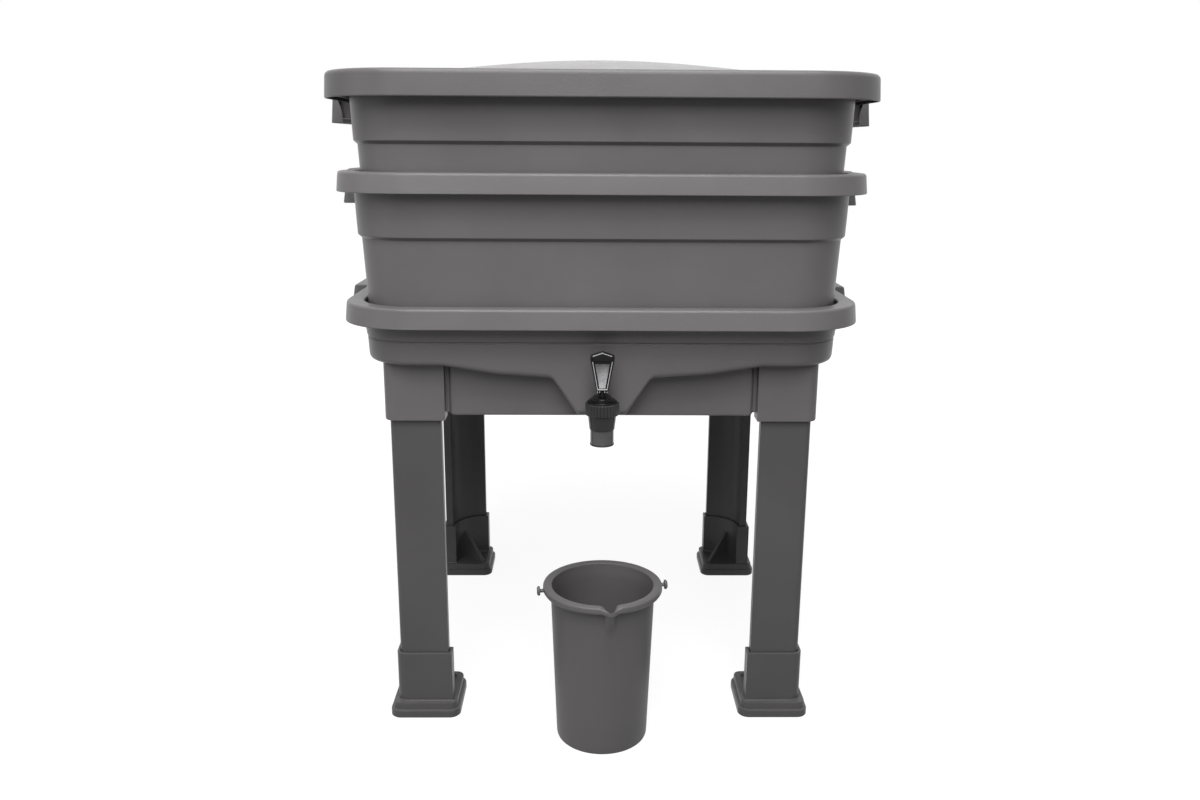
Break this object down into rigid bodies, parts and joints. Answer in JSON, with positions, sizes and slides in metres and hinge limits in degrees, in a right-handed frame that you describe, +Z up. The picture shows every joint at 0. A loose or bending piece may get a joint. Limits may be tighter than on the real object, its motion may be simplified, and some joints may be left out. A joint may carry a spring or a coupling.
{
  "type": "wormery",
  "caption": "Square stacking worm composter with a domed lid, nesting perforated trays, a collector base with a lever tap, corner legs on splayed feet, and a small bucket.",
  "frame": {"origin": "on the floor, in the middle of the area that the stack and its bucket cover", "axes": "+Z up, -Y towards the tap and the bucket, +X to the right seen from the front"},
  "size_m": [0.6032, 0.6082, 0.7286],
  "materials": {
    "body_plastic": "dark warm-grey moulded polypropylene, fine satin texture",
    "tap_plastic": "glossy black moulded plastic",
    "seal_rubber": "soft black rubber",
    "pin_steel": "plain drawn steel"
  },
  "bodies": {
    "stand": {"collector_base": "body_plastic", "leg_rear_right": "body_plastic", "leg_rear_left": "body_plastic", "leg_front_left": "body_plastic", "leg_front_right": "body_plastic", "foot_rear_right": "body_plastic", "foot_rear_left": "body_plastic", "foot_front_left": "body_plastic", "foot_front_right": "body_plastic", "tap_body": "tap_plastic", "tap_bonnet": "tap_plastic", "tap_front_washer": "seal_rubber", "tap_rear_washer": "seal_rubber", "tap_nut": "tap_plastic"},
    "lower_tray": {"lower_tray": "body_plastic"},
    "upper_tray": {"upper_tray": "body_plastic"},
    "lid": {"lid": "body_plastic"},
    "tap_stem": {"tap_stem": "tap_plastic", "tap_seat_cup": "seal_rubber"},
    "tap_lever": {"tap_lever": "tap_plastic", "tap_lever_pin": "pin_steel"},
    "bucket": {"bucket": "body_plastic"}
  },
  "joints": [
    {"name": "lower_tray_lift", "type": "slide", "parent": "stand", "child": "lower_tray", "axis": [0, 0, 1], "range_m": [0, 0.16]},
    {"name": "upper_tray_lift", "type": "slide", "parent": "lower_tray", "child": "upper_tray", "axis": [0, 0, 1], "range_m": [0, 0.16]},
    {"name": "lid_lift", "type": "slide", "parent": "upper_tray", "child": "lid", "axis": [0, 0, 1], "range_m": [0, 0.2]},
    {"name": "tap_stem_lift", "type": "slide", "parent": "stand", "child": "tap_stem", "axis": [0, 0, 1], "range_m": [0, 0.003]},
    {"name": "tap_lever_hinge", "type": "hinge", "parent": "tap_stem", "child": "tap_lever", "pos_m": [0, -0.25385, 0.3915], "axis": [1, 0, 0], "range_deg": [0, 50]},
    {"name": "bucket_lift", "type": "slide", "parent": "stand", "child": "bucket", "axis": [0, 0, 1], "range_m": [0, 0.15]}
  ],
  "couplings": [
    {"joint": "tap_stem_lift", "follows": "tap_lever_hinge", "m_per_rad": 0.0034}
  ]
}
